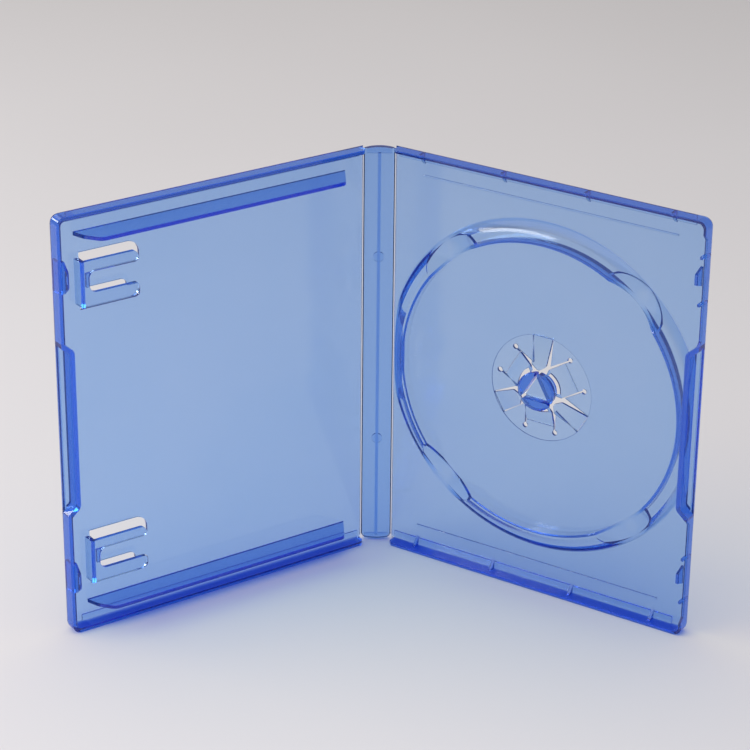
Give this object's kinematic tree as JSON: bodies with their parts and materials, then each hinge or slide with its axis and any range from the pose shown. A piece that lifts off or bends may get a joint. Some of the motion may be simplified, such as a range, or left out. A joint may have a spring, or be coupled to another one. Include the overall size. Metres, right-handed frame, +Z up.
{
  "type": "game disc case",
  "caption": "Open hinged disc case in clear blue plastic, with a ringed disc tray, push hub, guide rails, booklet clips and a flexing spine.",
  "frame": {"origin": "middle of the footprint of the open case as it stands, at floor level", "axes": "+X along the disc tray from its hinge to its free edge, +Y out of the back of the disc tray, +Z up along the hinges"},
  "size_m": [0.2012, 0.1354, 0.172],
  "materials": {
    "shell": "smooth translucent polypropylene",
    "hinge_web": "thin whitened polypropylene web",
    "hub": "smooth translucent polypropylene"
  },
  "bodies": {
    "disc_tray": {"disc_tray": "shell"},
    "spine": {"spine": "shell", "rear_hinge_web": "hinge_web", "front_hinge_web": "hinge_web"},
    "front_cover": {"front_cover": "shell"},
    "hub_press": {"hub_press_pad": "hub"},
    "petal_right": {"hub_petal_right": "hub"},
    "petal_left": {"hub_petal_left": "hub"},
    "petal_lower": {"hub_petal_lower": "hub"},
    "finger_upper": {"lift_finger_upper": "hub"},
    "finger_right": {"lift_finger_right": "hub"},
    "finger_left": {"lift_finger_left": "hub"}
  },
  "joints": [
    {"name": "rear_hinge", "type": "hinge", "parent": "disc_tray", "child": "spine", "pos_m": [-0.03597, 0.06691, 0.086], "axis": [0, 0, 1], "range_deg": [-33.28, 56.72], "deforming": ["rear_hinge_web"]},
    {"name": "front_hinge", "type": "hinge", "parent": "spine", "child": "front_cover", "pos_m": [-0.04634, 0.0601, 0.086], "axis": [0, 0, 1], "range_deg": [-33.28, 56.72], "deforming": ["front_hinge_web"]},
    {"name": "hub_press", "type": "slide", "parent": "disc_tray", "child": "hub_press", "axis": [0, 1, 0], "range_m": [0, 0.0012], "stiffness_N_per_m": 3000},
    {"name": "petal_right_fold", "type": "hinge", "parent": "disc_tray", "child": "petal_right", "pos_m": [0.04512, 0.06711, 0.0935], "axis": [0.5, 0, -0.866], "range_deg": [0, 6.1]},
    {"name": "petal_left_fold", "type": "hinge", "parent": "disc_tray", "child": "petal_left", "pos_m": [0.01914, 0.06711, 0.0935], "axis": [0.5, 0, 0.866], "range_deg": [0, 6.1]},
    {"name": "petal_lower_fold", "type": "hinge", "parent": "disc_tray", "child": "petal_lower", "pos_m": [0.03213, 0.06711, 0.071], "axis": [-1, 0, 0], "range_deg": [0, 6.1]},
    {"name": "finger_upper_flex", "type": "hinge", "parent": "disc_tray", "child": "finger_upper", "pos_m": [0.03213, 0.06711, 0.1075], "axis": [1, 0, 0], "range_deg": [0, 12], "stiffness_Nm_per_rad": 0.05},
    {"name": "finger_right_flex", "type": "hinge", "parent": "disc_tray", "child": "finger_right", "pos_m": [0.05075, 0.06711, 0.07525], "axis": [-0.5, 0, -0.866], "range_deg": [0, 12]},
    {"name": "finger_left_flex", "type": "hinge", "parent": "disc_tray", "child": "finger_left", "pos_m": [0.01351, 0.06711, 0.07525], "axis": [-0.5, 0, 0.866], "range_deg": [0, 12]}
  ],
  "couplings": [
    {"joint": "petal_right_fold", "follows": "hub_press", "rad_per_m": 88.1},
    {"joint": "petal_left_fold", "follows": "hub_press", "rad_per_m": 88.1},
    {"joint": "petal_lower_fold", "follows": "hub_press", "rad_per_m": 88.1},
    {"joint": "finger_right_flex", "follows": "finger_upper_flex", "ratio": 1},
    {"joint": "finger_left_flex", "follows": "finger_upper_flex", "ratio": 1}
  ]
}
